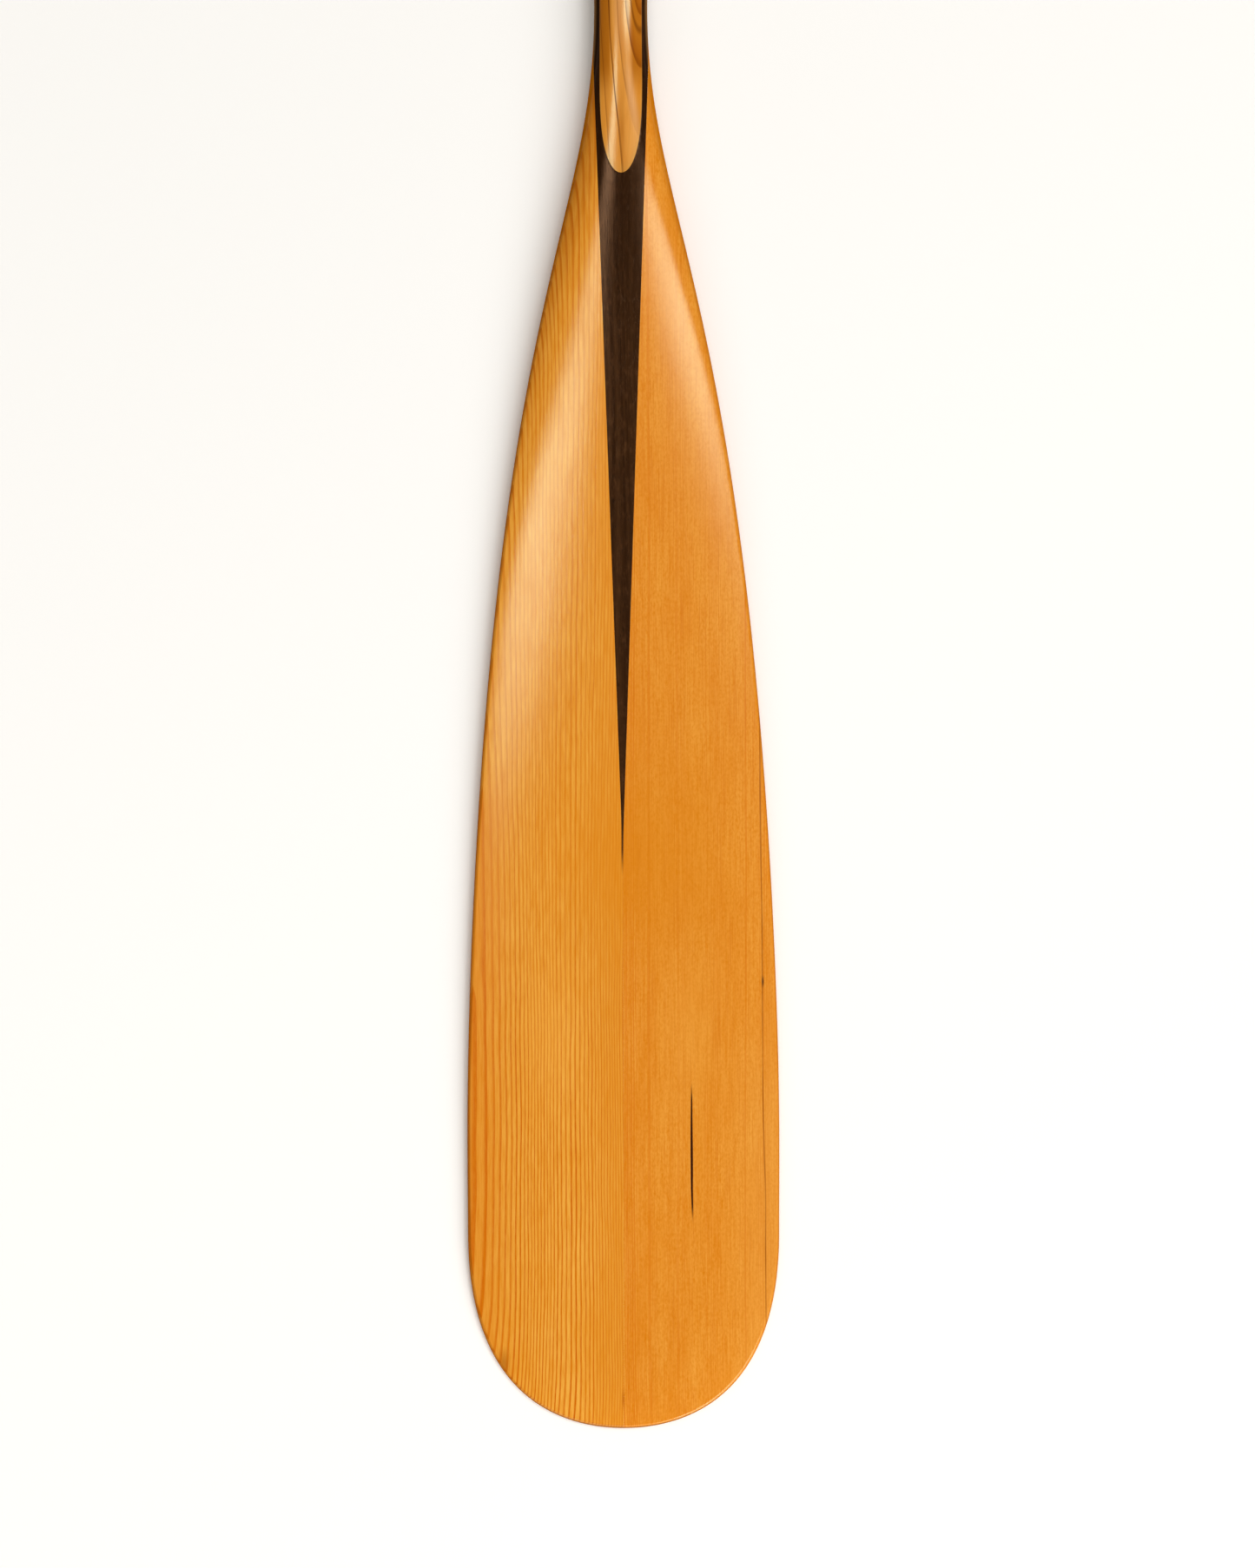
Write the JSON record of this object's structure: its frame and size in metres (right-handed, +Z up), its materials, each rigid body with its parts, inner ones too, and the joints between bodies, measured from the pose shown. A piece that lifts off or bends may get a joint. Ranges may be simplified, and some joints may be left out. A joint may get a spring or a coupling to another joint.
{
  "type": "wooden paddle",
  "caption": "Laminated wooden canoe paddle with a long rounded blade, a dark spear-shaped core running down its middle, an oval shaft and a pear-shaped grip.",
  "frame": {"origin": "under the middle of the paddle's length and width, on the level of the shaft's lowest line when the paddle lies face up", "axes": "+Y along the paddle from the blade's tip to the grip, +X across the blade to the right of the front face, +Z up out of the front face"},
  "size_m": [0.1628, 1.473, 0.027],
  "materials": {
    "core_wood": "dark walnut, oiled satin",
    "face_wood": "warm figured hardwood, oiled satin",
    "blade_wood_left": "red cedar with open straight grain, oiled satin",
    "blade_wood_right": "red cedar with very fine straight grain, oiled satin",
    "grip_wood": "warm figured hardwood, oiled satin"
  },
  "bodies": {
    "root": {"shaft_core": "core_wood", "shaft_face_front": "face_wood", "shaft_face_back": "face_wood", "blade_board_left": "blade_wood_left", "blade_board_right": "blade_wood_right", "grip_cheek_left": "grip_wood", "grip_cheek_right": "grip_wood"}
  },
  "joints": []
}
